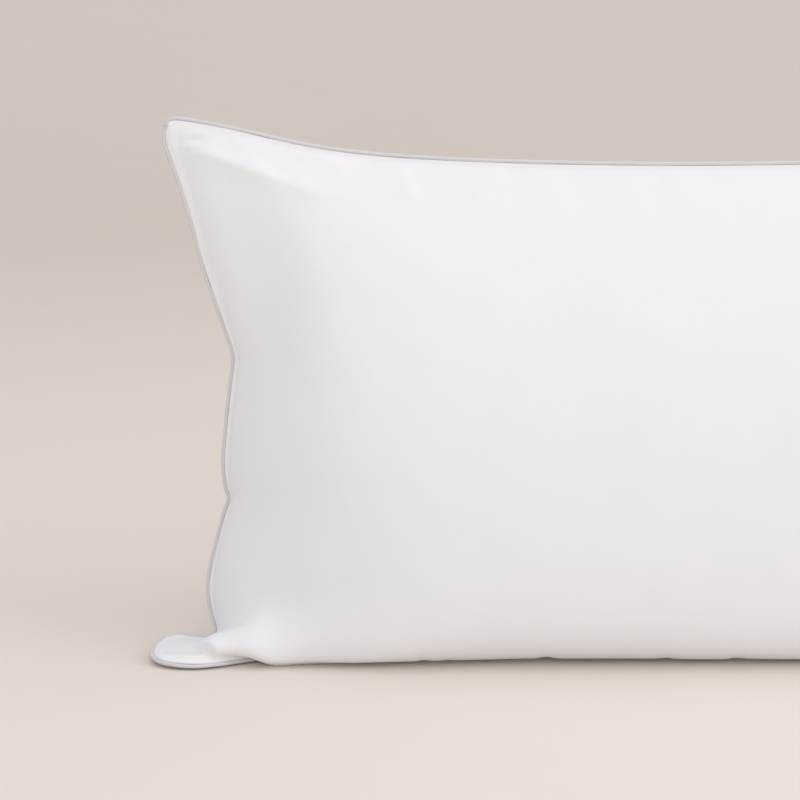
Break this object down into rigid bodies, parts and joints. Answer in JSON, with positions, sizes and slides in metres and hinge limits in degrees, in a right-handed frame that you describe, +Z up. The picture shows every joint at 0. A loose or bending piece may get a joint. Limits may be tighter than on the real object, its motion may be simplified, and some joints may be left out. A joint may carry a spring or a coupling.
{
  "type": "bed pillow",
  "caption": "King-size bed pillow with piped seam, standing on its long edge: two cotton panels over loose fibre filling, one lower corner slipped forward.",
  "frame": {"origin": "on the resting plane, under the centre of the bounding box", "axes": "+X along the pillow's length, +Y through its thickness towards the back, +Z up from the resting plane"},
  "size_m": [0.9247, 0.1784, 0.4779],
  "materials": {
    "panel_cotton": "smooth white cotton percale, matt with a faint sheen",
    "piping_cotton": "light grey cotton sateen bias strip",
    "cord_cotton": "undyed twisted cotton cord",
    "fibre": "loose white polyester fibre",
    "sewing_thread": "white spun polyester thread"
  },
  "bodies": {
    "root": {"front_panel": "panel_cotton", "back_panel": "panel_cotton", "piping_strip": "piping_cotton", "piping_cord": "cord_cotton", "fibre_filling": "fibre", "needle_thread": "sewing_thread", "bobbin_thread": "sewing_thread", "closing_thread": "sewing_thread"}
  },
  "joints": []
}
